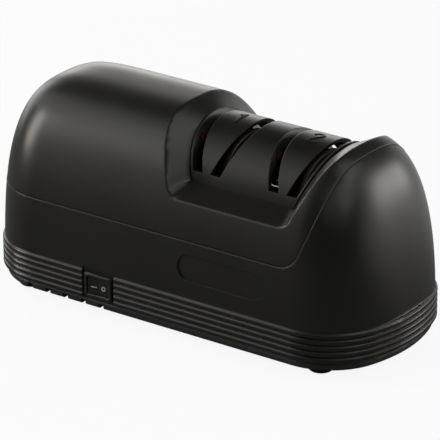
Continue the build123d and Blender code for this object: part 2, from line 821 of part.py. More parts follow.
def make_chassis():
    chassis = bar(chassis_left, chassis_right, -chassis_half_width, chassis_half_width, chassis_z, chassis_top)
    corners = chassis.edges().filter_by(Axis.Z)
    chassis = fillet(corners, 6)
    width = motor_radius + cradle_margin
    for x in cradle_places():
        half = cradle_thickness / 2
        chassis = chassis + bar(x - half, x + half, -width, width, chassis_top, shaft_z)
        foot = bar(x - half, x + half, -width, width, chassis_z, chassis_top)
        chassis = chassis + foot
    chassis = chassis - rod(motor_left_x, motor_right_x, motor_radius + clamp_clearance)
    for x in block_places():
        block = bar(x, x + block_thickness, -block_half_width, block_half_width, chassis_z, shaft_z)
        chassis = chassis + (block - rod(x - 1, x + block_thickness + 1, bush_radius))
    for x in both((chassis_screw_x,)):
        for y in both((chassis_screw_y,)):
            chassis = chassis - post(x, y, screw_radius + through_clearance, 0, chassis_top + 1)
    return drill_pilots(chassis)


def make_motor_clamps():
    clamps = []
    inner = motor_radius + clamp_clearance
    width = motor_radius + cradle_margin
    for x in cradle_places():
        x0, x1 = x - cradle_thickness / 2, x + cradle_thickness / 2
        strap = pipe(x0, x1, inner + clamp_thickness, inner)
        lugs = bar(x0, x1, -width, width, shaft_z, shaft_z + clamp_thickness) - rod(x0 - 1, x1 + 1, inner)
        clamp = (strap & bar(x0, x1, -far, far, shaft_z, far)) + lugs
        for px, py, seat in cap_screw_places():
            clamp = clamp - post(px, py, screw_radius + through_clearance, shaft_z - 1, seat + 1)
        clamps.append(clamp)
    return clamps


# ---- motor ------------------------------------------------------------------
def make_motor_can():
    can = rod(motor_left_x, motor_right_x, motor_radius)
    can = can - rod(motor_left_x - 1, motor_right_x - can_wall, motor_radius - can_wall)
    nose = rod(motor_right_x - can_wall, motor_right_x + motor_nose, motor_bush_radius + motor_nose_wall)
    return can + nose - rod(motor_right_x - can_wall - 1, motor_right_x + motor_nose + 1, motor_bush_radius)


def stack_middle():
    return (motor_left_x + motor_right_x) / 2 + 4


def make_motor_magnets():
    outer = motor_radius - can_wall - fixed_clearance
    inner = outer - magnet_thickness
    x0, x1 = stack_middle() - magnet_length / 2, stack_middle() + magnet_length / 2
    ring = pipe(x0, x1, outer, inner)
    half = math.radians(magnet_span / 2)
    magnets = []
    for s in (-1, 1):
        y, z = s * far * math.cos(half), far * math.sin(half)
        points = [(x0 - 1, 0, shaft_z), (x0 - 1, y, shaft_z - z), (x0 - 1, s * far, shaft_z - z),
                  (x0 - 1, s * far, shaft_z + z), (x0 - 1, y, shaft_z + z)]
        face = Face(Wire([Edge.make_line(a, b) for a, b in zip(points, points[1:] + points[:1])]))
        magnets.append(ring & Solid.extrude(face, Vector(magnet_length + 2, 0, 0)))
    return magnets


def armature_radius():
    return motor_radius - can_wall - fixed_clearance - magnet_thickness - air_gap


def make_armature():
    radius = armature_radius()
    x0, x1 = stack_middle() - stack_length / 2, stack_middle() + stack_length / 2
    stack = rod(x0, x1, radius)
    for i in range(stack_slots):
        cut = bar(x0 - 1, x1 + 1, -stack_slot_width / 2, stack_slot_width / 2, radius * stack_slot_floor, radius + 1)
        stack = stack - Pos(0, 0, shaft_z) * Rot(360 / stack_slots * i, 0, 0) * cut
    return stack - rod(x0 - 1, x1 + 1, motor_shaft_radius + fixed_clearance)


def make_windings():
    coils = []
    for s in (-1, 1):
        x0, x1 = sorted((stack_middle() + s * stack_length / 2, stack_middle() + s * (stack_length / 2 + winding_length)))
        coil = rod(x0, x1, winding_radius)
        outer = coil.edges().filter_by(GeomType.CIRCLE).sort_by(Axis.X)[0 if s < 0 else -1]
        coil = fillet(outer, winding_length * winding_round)
        coils.append(coil - rod(x0 - 1, x1 + 1, motor_shaft_radius + fixed_clearance))
    return coils


def commutator_start():
    return stack_middle() - stack_length / 2 - winding_length - 1 - commutator_length


def make_commutator():
    x0 = commutator_start()
    return pipe(x0, x0 + commutator_length, commutator_radius, motor_shaft_radius + fixed_clearance)


def brush_blocks(grow, length):
    x = commutator_start() + commutator_length / 2
    half = brush_size / 2 + grow
    blocks = []
    for s in (-1, 1):
        y0, y1 = sorted((s * (commutator_radius + brush_gap), s * (commutator_radius + brush_gap + length)))
        blocks.append(bar(x - half, x + half, y0, y1, shaft_z - half, shaft_z + half))
    return blocks


def make_brushes():
    return brush_blocks(0, brush_length)


def make_motor_end_cap():
    x0 = motor_left_x - end_cap_thickness
    cap = rod(x0, motor_left_x, motor_radius)
    cap = cap + rod(motor_left_x, motor_left_x + end_cap_spigot, motor_radius - can_wall - fixed_clearance)
    holder_end = commutator_start() + commutator_length / 2 + brush_size / 2 + brush_holder_end
    for s in (-1, 1):
        y0, y1 = sorted((s * (commutator_radius + brush_holder_gap), s * (motor_radius - can_wall - 1)))
        half = brush_size / 2 + brush_holder_wall
        cap = cap + bar(motor_left_x, holder_end, y0, y1, shaft_z - half, shaft_z + half)
    for slot in brush_blocks(fixed_clearance, brush_length + fixed_clearance):
        cap = cap - slot
    cap = cap + rod(x0 - motor_nose, x0, motor_bush_radius + motor_nose_wall)
    return cap - rod(x0 - motor_nose - 1, motor_left_x + end_cap_spigot + 1, motor_bush_radius)


def make_motor_bushes():
    x0 = motor_left_x - end_cap_thickness - motor_nose
    bore = motor_shaft_radius + running_clearance
    outer = motor_bush_radius - fixed_clearance
    return [pipe(x0, x0 + 6, outer, bore), pipe(motor_right_x - can_wall, motor_right_x + motor_nose, outer, bore)]


def fan_start():
    return motor_left_x - end_cap_thickness - motor_nose - fan_gap - fan_thickness


def make_motor_shaft():
    x1 = left_block_x - coupling_gap - coupling_length / 2 - shaft_joint_gap / 2
    return rod(fan_start() - 1, x1, motor_shaft_radius)


def make_cooling_fan():
    x0 = fan_start()
    fan = rod(x0, x0 + fan_thickness, fan_hub_radius)
    fan = fan + rod(x0, x0 + fan_disc_thickness, fan_radius)
    for i in range(fan_blades):
        blade = bar(x0, x0 + fan_thickness, -blade_thickness / 2, blade_thickness / 2, fan_hub_radius - 1, fan_radius)
        fan = fan + Pos(0, 0, shaft_z) * Rot(360 / fan_blades * i, 0, 0) * blade
    return fan - rod(x0 - 1, x0 + fan_thickness + 1, motor_shaft_radius + fixed_clearance)


# ---- switch, inlet and board ----------------------------------------------------
def make_switch_body():
    bezel = bar(switch_x - bezel_width / 2, switch_x + bezel_width / 2, bezel_y, pad_y,
                switch_z - bezel_height / 2, switch_z + bezel_height / 2)
    bezel = fillet(bezel.edges().filter_by(Axis.Y), bezel_round)
    body = bezel + switch_window(0, pad_y, pad_y + switch_body_depth)
    w, h = rocker_width / 2 + rocker_end_fit, rocker_height / 2 + rocker_fit
    body = body - bar(switch_x - w, switch_x + w, bezel_y - 1, bezel_y + pocket_depth, switch_z - h, switch_z + h)
    pivot = bezel_y + rocker_pivot_depth
    reach = switch_body_height / 2 - pivot_hole_wall
    hole = Pos(switch_x, pivot, switch_z) * Cylinder(rocker_pivot_radius + running_clearance, 2 * reach)
    return body - hole


def make_switch_rocker():
    """Seen from above the rocker is a shallow V with its pivot pin behind; it stands tipped to one side."""
    w = rocker_width / 2
    face_y = bezel_y - rocker_proud
    back_y = bezel_y + rocker_depth
    pivot_y = bezel_y + rocker_pivot_depth
    end, waist_y = w - rocker_taper, back_y - rocker_back_depth
    points = [(-w, face_y), (0, face_y + rocker_dish), (w, face_y), (end, waist_y), (rocker_back_half, back_y),
              (-rocker_back_half, back_y), (-end, waist_y)]
    outline = Face(Wire([Edge.make_line((*a, 0), (*b, 0)) for a, b in zip(points, points[1:] + points[:1])]))
    rocker = Solid.extrude(outline, Vector(0, 0, rocker_height))
    rocker = Pos(switch_x, 0, switch_z - rocker_height / 2) * rocker
    pin_reach = switch_body_height / 2 - pivot_pin_wall
    rocker = rocker + Pos(switch_x, pivot_y, switch_z) * Cylinder(rocker_pivot_radius, 2 * pin_reach)
    turn = Pos(switch_x, pivot_y, 0) * Rot(0, 0, rocker_half_throw) * Pos(-switch_x, -pivot_y, 0)
    return turn * rocker


def make_switch_terminals():
    y0 = pad_y + switch_body_depth
    half = terminal_width / 2
    return [bar(switch_x + dx - terminal_thickness / 2, switch_x + dx + terminal_thickness / 2, y0,
                y0 + terminal_length, switch_z - half, switch_z + half)
            for dx in (-terminal_pitch / 2, terminal_pitch / 2)]


def make_cord_inlet():
    outer_wall = wall_y - groove_depth
    inner_wall = outer_wall - wall
    face = outer_wall + inlet_flange_thickness
    sleeve = inlet_rod(inlet_sleeve_radius, face - inlet_length, face)
    flange = inlet_rod(inlet_flange_radius, outer_wall, face)
    keeper = inlet_rod(inlet_flange_radius, inner_wall - inlet_inner_flange, inner_wall)
    return sleeve + flange + keeper - inlet_rod(inlet_bore_radius, 0, body_width)


def board_corners():
    return [(board_x + sx * (board_length / 2 - board_post_radius), sy * (board_width / 2 - board_post_radius))
            for sx in (-1, 1) for sy in (-1, 1)]


def make_circuit_board():
    return bar(board_x - board_length / 2, board_x + board_length / 2, -board_width / 2, board_width / 2,
               board_post_z, board_post_z + board_thickness)


def make_capacitor():
    length, width, height = capacitor_size
    z0 = board_post_z + board_thickness
    middle = board_x + capacitor_x
    return bar(middle - length / 2, middle + length / 2, -width - capacitor_gap, -capacitor_gap, z0, z0 + height)


def make_rectifier():
    length, width, height = bridge_size
    z0 = board_post_z + board_thickness
    return bar(board_x + bridge_x, board_x + bridge_x + length, 0, width, z0, z0 + height)


# ---- write every sub-part -------------------------------------------------------
def long_screws():
    return [screw(x, s * long_screw_y, long_screw_seat_z, long_screw_length, head_down=True)
            for x in long_screw_x for s in (-1, 1)]


def short_screws():
    return [screw(x, y, short_seat_z, short_screw_length, head_down=True)
            for x in both((short_screw_x,)) for y in both((short_screw_y,))]


def chassis_screws():
    return [screw(x, y, chassis_top, plate_screw_length) for x in both((chassis_screw_x,))
            for y in both((chassis_screw_y,))]


parts = {
    "lower_housing": make_lower_housing(),
    "upper_cover": make_upper_cover(),
    "base_plate": make_base_plate(),
    "rubber_feet": make_feet(),
    "slot_cover": make_slot_cover(),
    "guide_springs": make_guide_springs(),
    "wheel_shaft": make_wheel_shaft(),
    "retaining_rings": make_retaining_rings(),
    "coarse_disc_left": make_disc(stage_x[0], -1),
    "coarse_disc_right": make_disc(stage_x[0], 1),
    "fine_disc_left": make_disc(stage_x[1], -1),
    "fine_disc_right": make_disc(stage_x[1], 1),
    "coarse_spring": make_disc_spring(stage_x[0]),
    "fine_spring": make_disc_spring(stage_x[1]),
    "shaft_coupling": make_shaft_coupling(),
    "shaft_bushes": make_shaft_bushes(),
    "bearing_caps": make_bearing_caps(),
    "chassis": make_chassis(),
    "chassis_screws": chassis_screws(),
    "cap_screws": [screw(x, y, seat, plate_screw_length) for x, y, seat in cap_screw_places()],
    "cover_screws": long_screws(),
    "base_screws": short_screws(),
    "motor_can": make_motor_can(),
    "motor_magnets": make_motor_magnets(),
    "motor_end_cap": make_motor_end_cap(),
    "motor_bushes": make_motor_bushes(),
    "motor_clamps": make_motor_clamps(),
    "brushes": make_brushes(),
    "armature": make_armature(),
    "windings": make_windings(),
    "commutator": make_commutator(),
    "motor_shaft": make_motor_shaft(),
    "cooling_fan": make_cooling_fan(),
    "switch_body": make_switch_body(),
    "switch_rocker": make_switch_rocker(),
    "switch_terminals": make_switch_terminals(),
    "cord_inlet": make_cord_inlet(),
    "circuit_board": make_circuit_board(),
    "capacitor": make_capacitor(),
    "rectifier": make_rectifier(),
}


def write_parts():
    os.makedirs("parts", exist_ok=True)
    for name, made in parts.items():
        pieces = made if isinstance(made, list) else [made]
        solids = [solid for piece in pieces for solid in piece.solids()]
        shape = solids[0] if len(solids) == 1 else Compound(children=solids)
        export_step(shape, f"parts/{name}.step")


write_parts()
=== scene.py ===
import bmesh
import bpy
import json
import math
import numpy as np
from mathutils import Matrix, Vector

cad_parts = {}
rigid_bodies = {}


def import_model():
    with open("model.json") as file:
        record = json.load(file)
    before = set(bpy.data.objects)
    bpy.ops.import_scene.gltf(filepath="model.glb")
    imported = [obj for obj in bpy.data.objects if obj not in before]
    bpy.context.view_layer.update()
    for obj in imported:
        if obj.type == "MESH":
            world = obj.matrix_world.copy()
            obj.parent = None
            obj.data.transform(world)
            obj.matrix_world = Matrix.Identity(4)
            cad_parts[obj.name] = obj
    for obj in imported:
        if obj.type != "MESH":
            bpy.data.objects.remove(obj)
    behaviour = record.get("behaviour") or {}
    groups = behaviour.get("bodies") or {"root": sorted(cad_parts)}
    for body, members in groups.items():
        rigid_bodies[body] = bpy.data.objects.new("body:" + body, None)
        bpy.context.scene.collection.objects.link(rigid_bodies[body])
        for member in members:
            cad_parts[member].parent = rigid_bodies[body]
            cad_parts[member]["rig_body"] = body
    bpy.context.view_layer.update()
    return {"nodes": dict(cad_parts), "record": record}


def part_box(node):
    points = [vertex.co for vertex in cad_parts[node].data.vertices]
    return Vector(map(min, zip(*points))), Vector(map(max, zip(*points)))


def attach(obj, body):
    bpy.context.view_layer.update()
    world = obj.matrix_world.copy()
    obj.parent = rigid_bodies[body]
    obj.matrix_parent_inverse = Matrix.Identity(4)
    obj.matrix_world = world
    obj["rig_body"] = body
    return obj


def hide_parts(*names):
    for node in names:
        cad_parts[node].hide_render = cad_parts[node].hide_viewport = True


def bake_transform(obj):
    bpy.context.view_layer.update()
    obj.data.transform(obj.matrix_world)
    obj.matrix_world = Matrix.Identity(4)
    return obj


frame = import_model()
nodes = frame["nodes"]
print("frame loaded:", len(nodes), "nodes")

mm = 0.001

# camera, in front of the right end

cameraSetup = {
    "azimuth": 35.52,      # degrees from the front towards the right end
    "elevation": 23.0,
    "lens": 327.0,         # millimetres, as the sensor
    "sensor": 36.0,
    "clipEnd": 20.0,
    "distance": 1.762,
    "aim": (0.0, 0.0, 19.16 * mm),
    "rise": 17.5 * mm,     # aim point, up in the view
    "across": 1.3 * mm,    # aim point, to the right in the view
}


def placeCamera(setup):
    a, e = math.radians(setup["azimuth"]), math.radians(setup["elevation"])
    right = Vector((math.cos(a), math.sin(a), 0))
    up = Vector((-math.sin(a) * math.sin(e), math.cos(a) * math.sin(e), math.cos(e)))
    back = Vector((math.sin(a) * math.cos(e), -math.cos(a) * math.cos(e), math.sin(e)))
    aim = Vector(setup["aim"]) + up * setup["rise"] + right * setup["across"]
    data = bpy.data.cameras.new("sharpenerCamera")
    data.lens = setup["lens"]
    data.sensor_width = setup["sensor"]
    data.clip_end = setup["clipEnd"]
    camera = bpy.data.objects.new("sharpenerCamera", data)
    bpy.context.scene.collection.objects.link(camera)
    turn = Matrix((right, up, back)).transposed().to_4x4()
    camera.matrix_world = Matrix.Translation(aim + back * setup["distance"]) @ turn
    bpy.context.scene.camera = camera


placeCamera(cameraSetup)
bpy.context.scene.view_settings.view_transform = "Standard"
print("camera placed")

# floor, world and lamps

floorLook = {
    "halfWidth": 6.0, "lines": 49, "z": -0.3 * mm,
    "seen": 0.9, "bounced": 0.25,          # brightness for the camera, and for light that it throws back
    "fleckScale": 3.0, "fleck": 0.02,
    "shadowShare": 0.1,                    # the rest is plain white
    "paperFrom": 0.05, "paperTo": 0.35,    # where it starts to mirror as white, behind the object
}


def addFloor(look):
    # a level grid, z constant
    u = np.linspace(-1, 1, look["lines"]) * look["halfWidth"]
    x, y = np.meshgrid(u, u, indexing="ij")
    floor = linkPiece("floor", meshFromGrid("floor", np.stack([x, y, np.full_like(x, look["z"])], -1)))
    floor.data.materials.append(floorMaterial(look))


def meshFromGrid(name, points, closeU=False, closeV=False):
    # one vertex per grid point, one quad per cell; a closed direction joins its last row to its first
    rows, cols = points.shape[:2]
    index = np.arange(rows * cols).reshape(rows, cols)
    if closeU:
        index = np.vstack([index, index[:1]])
    if closeV:
        index = np.hstack([index, index[:, :1]])
    quads = np.stack([index[:-1, :-1], index[1:, :-1], index[1:, 1:], index[:-1, 1:]], -1).reshape(-1, 4)
    mesh = bpy.data.meshes.new(name)
    mesh.from_pydata(points.reshape(-1, 3).tolist(), [], quads.tolist())
    mesh.update()
    return mesh


def linkPiece(name, mesh):
    piece = bpy.data.objects.new(name, mesh)
    bpy.context.scene.collection.objects.link(piece)
    return piece


def newMaterial(name):
    material = bpy.data.materials.new(name)
    material.use_nodes = True
    tree = material.node_tree
    tree.nodes.clear()
    output = tree.nodes.new("ShaderNodeOutputMaterial")
    return material, tree, output


def smoothStep(tree, field, low, high):
    # 0 up to low, 1 from high, 3t^2 - 2t^3 between
    step = tree.nodes.new("ShaderNodeMapRange")
    step.interpolation_type = "SMOOTHSTEP"
    step.inputs["From Min"].default_value = low
    step.inputs["From Max"].default_value = high
    tree.links.new(field, step.inputs["Value"])
    return step.outputs["Result"]


def calculate(tree, operation, *terms):
    # a math node; a term is a number or another node's output
    node = tree.nodes.new("ShaderNodeMath")
    node.operation = operation
    for socket, term in zip(node.inputs, terms):
        if isinstance(term, (int, float)):
            socket.default_value = term
        else:
            tree.links.new(term, socket)
    return node


def backgroundRays(tree, path, behind):
    # 1 for rays from the camera and through glass, and for reflections of what is behind the object
    mirrored = calculate(tree, "MULTIPLY", path.outputs["Is Glossy Ray"], behind)
    through = calculate(tree, "MAXIMUM", path.outputs["Is Camera Ray"], path.outputs["Is Transmission Ray"])
    return calculate(tree, "MAXIMUM", through.outputs[0], mirrored.outputs[0]).outputs[0]


def mixShaders(tree, share, first, second, output):
    mix = tree.nodes.new("ShaderNodeMixShader")
    tree.links.new(share, mix.inputs["Fac"])
    tree.links.new(first.outputs[0], mix.inputs[1])
    tree.links.new(second.outputs[0], mix.inputs[2])
    tree.links.new(mix.outputs[0], output.inputs["Surface"])


def floorMaterial(look):
    material, tree, output = newMaterial("paleFloor")
    diffuse = tree.nodes.new("ShaderNodeBsdfDiffuse")
    noise = tree.nodes.new("ShaderNodeTexNoise")
    noise.inputs["Scale"].default_value = look["fleckScale"]
    coordinates = tree.nodes.new("ShaderNodeTexCoord")
    tree.links.new(coordinates.outputs["Object"], noise.inputs["Vector"])
    path = tree.nodes.new("ShaderNodeLightPath")
    tint = tree.nodes.new("ShaderNodeMapRange")
    tint.inputs["To Min"].default_value = look["bounced"]
    tint.inputs["To Max"].default_value = look["seen"]
    tree.links.new(path.outputs["Is Camera Ray"], tint.inputs["Value"])
    fleck = calculate(tree, "MULTIPLY_ADD", noise.outputs["Fac"], look["fleck"], tint.outputs["Result"])
    tree.links.new(fleck.outputs[0], diffuse.inputs["Color"])
    white = tree.nodes.new("ShaderNodeEmission")
    white.inputs["Strength"].default_value = 1.0
    apart = tree.nodes.new("ShaderNodeSeparateXYZ")
    tree.links.new(coordinates.outputs["Object"], apart.inputs[0])
    behind = smoothStep(tree, apart.outputs["Y"], look["paperFrom"], look["paperTo"])
    share = calculate(tree, "MULTIPLY", backgroundRays(tree, path, behind), 1.0 - look["shadowShare"])
    mixShaders(tree, share.outputs[0], diffuse, white, output)
    return material


worldLook = {
    "roomColour": (0.03, 0.03, 0.031),
    "paperFrom": 0.0, "paperTo": 0.6,      # white in reflections, towards the rear
    "paperFoot": 0.2, "paperTop": 0.55,    # and it fades out upwards
}


def addWorld(look):
    world = bpy.data.worlds.new("studio")
    bpy.context.scene.world = world
    world.use_nodes = True
    tree = world.node_tree
    tree.nodes.clear()
    output = tree.nodes.new("ShaderNodeOutputWorld")
    room = tree.nodes.new("ShaderNodeBackground")
    room.inputs["Color"].default_value = (*look["roomColour"], 1)
    white = tree.nodes.new("ShaderNodeBackground")
    white.inputs["Color"].default_value = (1, 1, 1, 1)
    coordinates = tree.nodes.new("ShaderNodeTexCoord")
    apart = tree.nodes.new("ShaderNodeSeparateXYZ")
    tree.links.new(coordinates.outputs["Generated"], apart.inputs[0])
    rear = smoothStep(tree, apart.outputs["Y"], look["paperFrom"], look["paperTo"])
    high = smoothStep(tree, apart.outputs["Z"], look["paperFoot"], look["paperTop"])
    behind = calculate(tree, "SUBTRACT", rear, high)
    behind.use_clamp = True
    path = tree.nodes.new("ShaderNodeLightPath")
    mixShaders(tree, backgroundRays(tree, path, behind.outputs[0]), room, white, output)


# soft boxes on a sphere round the object: degrees from the front towards the right end, degrees up, watts,
# width and height in metres, colour

lampSphere = {"distance": 1.5, "aimHeight": 50 * mm, "baseHeight": 30 * mm}
neutral, warm = (1.0, 1.0, 1.0), (1.0, 0.95, 0.9)
lamps = {
    "frontLeftMid": (320, 38, 3.6, (0.85, 0.85), neutral),
    "frontLeftLow": (322, 12, 1.4, (0.85, 0.85), neutral),
    "frontLeftHigh": (300, 62, 1.5, (0.85, 0.85), neutral),
    "frontRightMid": (40, 38, 1.3, (0.85, 0.85), neutral),
    "leftStrip": (299, 19, 10.0, (0.32, 0.8), warm),
    "leftMid": (280, 38, 2.2, (0.7, 0.7), neutral),
    "leftRearLow": (252, 12, 4.6, (0.85, 0.85), neutral),
    "rearLow": (214, 8, 2.0, (0.8, 0.3), warm),
    "rearRightLow": (141, 10, 5.6, (0.55, 0.45), warm),
    "rearRightMid": (120, 38, 2.1, (0.85, 0.85), neutral),
    "rearRightHigh": (120, 62, 3.2, (0.85, 0.85), neutral),
    "rightMid": (80, 38, 3.4, (0.85, 0.85), neutral),
}


def addLamp(name, lamp, sphere):
    azimuth, elevation, watts, size, colour = lamp
    turn, rise = math.radians(azimuth), math.radians(elevation)
    data = bpy.data.lights.new(name, "AREA")
    data.shape = "RECTANGLE"
    data.energy = watts
    data.size, data.size_y = size
    data.color = colour
    light = bpy.data.objects.new(name, data)
    light.visible_camera = False
    bpy.context.scene.collection.objects.link(light)
    away = Vector((math.sin(turn) * math.cos(rise), -math.cos(turn) * math.cos(rise), math.sin(rise)))
    light.location = away * sphere["distance"] + Vector((0, 0, sphere["baseHeight"]))
    aim = Vector((0, 0, sphere["aimHeight"]))
    light.rotation_euler = (aim - light.location).to_track_quat("-Z", "Y").to_euler()


addFloor(floorLook)
addWorld(worldLook)
for lampName, lamp in lamps.items():
    addLamp(lampName, lamp, lampSphere)
print("studio ready")

# finishes

noiseRange = (0.3, 0.7)    # where most of a noise field lies
edgeSamples = 6            # of the bevel that softens edges
plasticMirror = 0.38       # specular level of a plastic that names none
grainDepth = 0.02 * mm
metalCloudScale = 60.0


def objectPoints(tree, scale):
    coordinates = tree.nodes.new("ShaderNodeTexCoord")
    mapping = tree.nodes.new("ShaderNodeMapping")
    mapping.inputs["Scale"].default_value = scale
    tree.links.new(coordinates.outputs["Object"], mapping.inputs["Vector"])
    return mapping.outputs["Vector"]


def noiseField(tree, points, scale, detail=3.0):
    noise = tree.nodes.new("ShaderNodeTexNoise")
    noise.inputs["Scale"].default_value = scale
    noise.inputs["Detail"].default_value = detail
    tree.links.new(points, noise.inputs["Vector"])
    return noise.outputs["Fac"]


def spread(tree, field, low, high):
    # the noise range becomes low to high
    ramp = tree.nodes.new("ShaderNodeMapRange")
    ends = {"From Min": noiseRange[0], "From Max": noiseRange[1], "To Min": low, "To Max": high}
    for socket, value in ends.items():
        ramp.inputs[socket].default_value = value
    tree.links.new(field, ramp.inputs["Value"])
    return ramp.outputs["Result"]


def blendColours(tree, field, first, second):
    mix = tree.nodes.new("ShaderNodeMix")
    mix.data_type = "RGBA"
    mix.inputs["A"].default_value = (*first, 1)
    mix.inputs["B"].default_value = (*second, 1)
    tree.links.new(field, mix.inputs["Factor"])
    return mix.outputs["Result"]


def bumpFrom(tree, field, strength, depth, under=None):
    bump = tree.nodes.new("ShaderNodeBump")
    bump.inputs["Strength"].default_value = strength
    bump.inputs["Distance"].default_value = depth
    tree.links.new(field, bump.inputs["Height"])
    if under is not None:
        tree.links.new(under, bump.inputs["Normal"])
    return bump.outputs["Normal"]


def softEdges(tree, radius):
    bevel = tree.nodes.new("ShaderNodeBevel")
    bevel.samples = edgeSamples
    bevel.inputs["Radius"].default_value = radius
    return bevel.outputs["Normal"]


def newShader(name):
    material, tree, output = newMaterial(name)
    shader = tree.nodes.new("ShaderNodeBsdfPrincipled")
    tree.links.new(shader.outputs[0], output.inputs["Surface"])
    return material, tree, shader


def mouldedPlastic(name, look):
    # dark body with a fine spark-eroded grain and slightly uneven gloss
    material, tree, shader = newShader(name)
    shader.inputs["Specular IOR Level"].default_value = look.get("mirror", plasticMirror)
    points = objectPoints(tree, (1, 1, 1))
    cloud = noiseField(tree, points, look["cloudScale"])
    grain = noiseField(tree, points, look["grainScale"], detail=2.0)
    tree.links.new(blendColours(tree, cloud, look["colour"], look["second"]), shader.inputs["Base Color"])
    tree.links.new(spread(tree, cloud, *look["roughness"]), shader.inputs["Roughness"])
    under = softEdges(tree, look["edge"]) if "edge" in look else None
    tree.links.new(bumpFrom(tree, grain, look["grain"], grainDepth, under), shader.inputs["Normal"])
    return material


def turnedMetal(name, look):
    # tooling lines run round the X axis, so the field is squeezed along X
    material, tree, shader = newShader(name)
    shader.inputs["Metallic"].default_value = 1.0
    lines = noiseField(tree, objectPoints(tree, look["stretch"]), look["lineScale"])
    cloud = noiseField(tree, objectPoints(tree, (1, 1, 1)), metalCloudScale)
    tree.links.new(blendColours(tree, cloud, look["colour"], look["second"]), shader.inputs["Base Color"])
    tree.links.new(spread(tree, lines, *look["roughness"]), shader.inputs["Roughness"])
    tree.links.new(bumpFrom(tree, lines, look["relief"], grainDepth), shader.inputs["Normal"])
    return material


def grittyDisc(name, look):
    # bonded grit: small cells of changing brightness that also roughen the surface
    material, tree, shader = newShader(name)
    shader.inputs["Metallic"].default_value = look["metal"]
    points = objectPoints(tree, (1, 1, 1))
    cells = tree.nodes.new("ShaderNodeTexVoronoi")
    cells.inputs["Scale"].default_value = look["cellScale"]
    tree.links.new(points, cells.inputs["Vector"])
    cloud = noiseField(tree, points, look["cloudScale"])
    tree.links.new(blendColours(tree, cloud, look["colour"], look["second"]), shader.inputs["Base Color"])
    tree.links.new(spread(tree, cloud, *look["roughness"]), shader.inputs["Roughness"])
    tree.links.new(bumpFrom(tree, cells.outputs["Distance"], look["relief"], look["depth"]), shader.inputs["Normal"])
    return material


def woundCopper(name, look):
    # lacquered wire: bands that repeat every wire width round the coil
    material, tree, shader = newShader(name)
    shader.inputs["Metallic"].default_value = 1.0
    wire = tree.nodes.new("ShaderNodeTexWave")
    wire.bands_direction = "DIAGONAL"
    wire.inputs["Scale"].default_value = look["wireScale"]
    wire.inputs["Distortion"].default_value = look["waver"]
    tree.links.new(objectPoints(tree, (1, 1, 1)), wire.inputs["Vector"])
    band = wire.outputs["Fac"]
    tree.links.new(blendColours(tree, band, look["colour"], look["second"]), shader.inputs["Base Color"])
    shader.inputs["Roughness"].default_value = look["roughness"]
    tree.links.new(bumpFrom(tree, band, look["relief"], look["depth"]), shader.inputs["Normal"])
    return material


plastics = {
    "housingBlack": {"colour": (0.0084, 0.0081, 0.0057), "second": (0.0106, 0.0102, 0.0072), "roughness": (0.3, 0.35),
                     "cloudScale": 35.0, "grainScale": 2600.0, "grain": 0.12, "edge": 0.6 * mm},
    "coverBlack": {"colour": (0.0084, 0.0081, 0.0057), "second": (0.0106, 0.0102, 0.0072), "roughness": (0.3, 0.35),
                   "cloudScale": 35.0, "grainScale": 2600.0, "grain": 0.12, "edge": 1.5 * mm},
    "drumBlack": {"colour": (0.0058, 0.0056, 0.004), "second": (0.0076, 0.0073, 0.0052), "roughness": (0.34, 0.4),
                  "cloudScale": 35.0, "grainScale": 2600.0, "grain": 0.12, "edge": 0.5 * mm, "mirror": 0.26},
    "baseBlack": {"colour": (0.016, 0.0175, 0.021), "second": (0.02, 0.022, 0.026), "roughness": (0.42, 0.5),
                  "cloudScale": 40.0, "grainScale": 1800.0, "grain": 0.25, "edge": 0.4 * mm},
    # lighter than the housing: a painted highlight, so the seam lip reads as a light line along the parting
    "seamBlack": {"colour": (0.03, 0.029, 0.027), "second": (0.038, 0.037, 0.034), "roughness": (0.3, 0.36),
                  "cloudScale": 60.0, "grainScale": 2400.0, "grain": 0.1},
    # darker than the drum: painted shade, standing for the shade inside engraved digits
    "digitBlack": {"colour": (0.0025, 0.0025, 0.0023), "second": (0.0035, 0.0035, 0.0032), "roughness": (0.5, 0.6),
                   "cloudScale": 90.0, "grainScale": 2400.0, "grain": 0.1, "mirror": 0.22},
    "markGrey": {"colour": (0.42, 0.42, 0.41), "second": (0.5, 0.5, 0.49), "roughness": (0.4, 0.5),
                 "cloudScale": 300.0, "grainScale": 2400.0, "grain": 0.05},
    "footRubber": {"colour": (0.012, 0.012, 0.012), "second": (0.018, 0.018, 0.017), "roughness": (0.75, 0.88),
                   "cloudScale": 120.0, "grainScale": 2200.0, "grain": 0.4},
    "switchBlack": {"colour": (0.0105, 0.0102, 0.008), "second": (0.013, 0.0126, 0.0098), "roughness": (0.3, 0.36),
                    "cloudScale": 150.0, "grainScale": 3000.0, "grain": 0.06, "edge": 0.35 * mm},
    "chassisGrey": {"colour": (0.05, 0.05, 0.055), "second": (0.065, 0.065, 0.07), "roughness": (0.5, 0.62),
                    "cloudScale": 70.0, "grainScale": 900.0, "grain": 0.4},
    "endCapIvory": {"colour": (0.62, 0.58, 0.5), "second": (0.7, 0.66, 0.57), "roughness": (0.42, 0.5),
                    "cloudScale": 80.0, "grainScale": 1500.0, "grain": 0.2},
    "boardBrown": {"colour": (0.22, 0.13, 0.05), "second": (0.28, 0.17, 0.07), "roughness": (0.45, 0.55),
                   "cloudScale": 200.0, "grainScale": 1400.0, "grain": 0.3},
    "capacitorAmber": {"colour": (0.42, 0.24, 0.03), "second": (0.5, 0.29, 0.04), "roughness": (0.25, 0.35),
                       "cloudScale": 130.0, "grainScale": 700.0, "grain": 0.2},
    "ferriteGrey": {"colour": (0.03, 0.03, 0.033), "second": (0.045, 0.045, 0.048), "roughness": (0.6, 0.75),
                    "cloudScale": 180.0, "grainScale": 1100.0, "grain": 0.6},
}
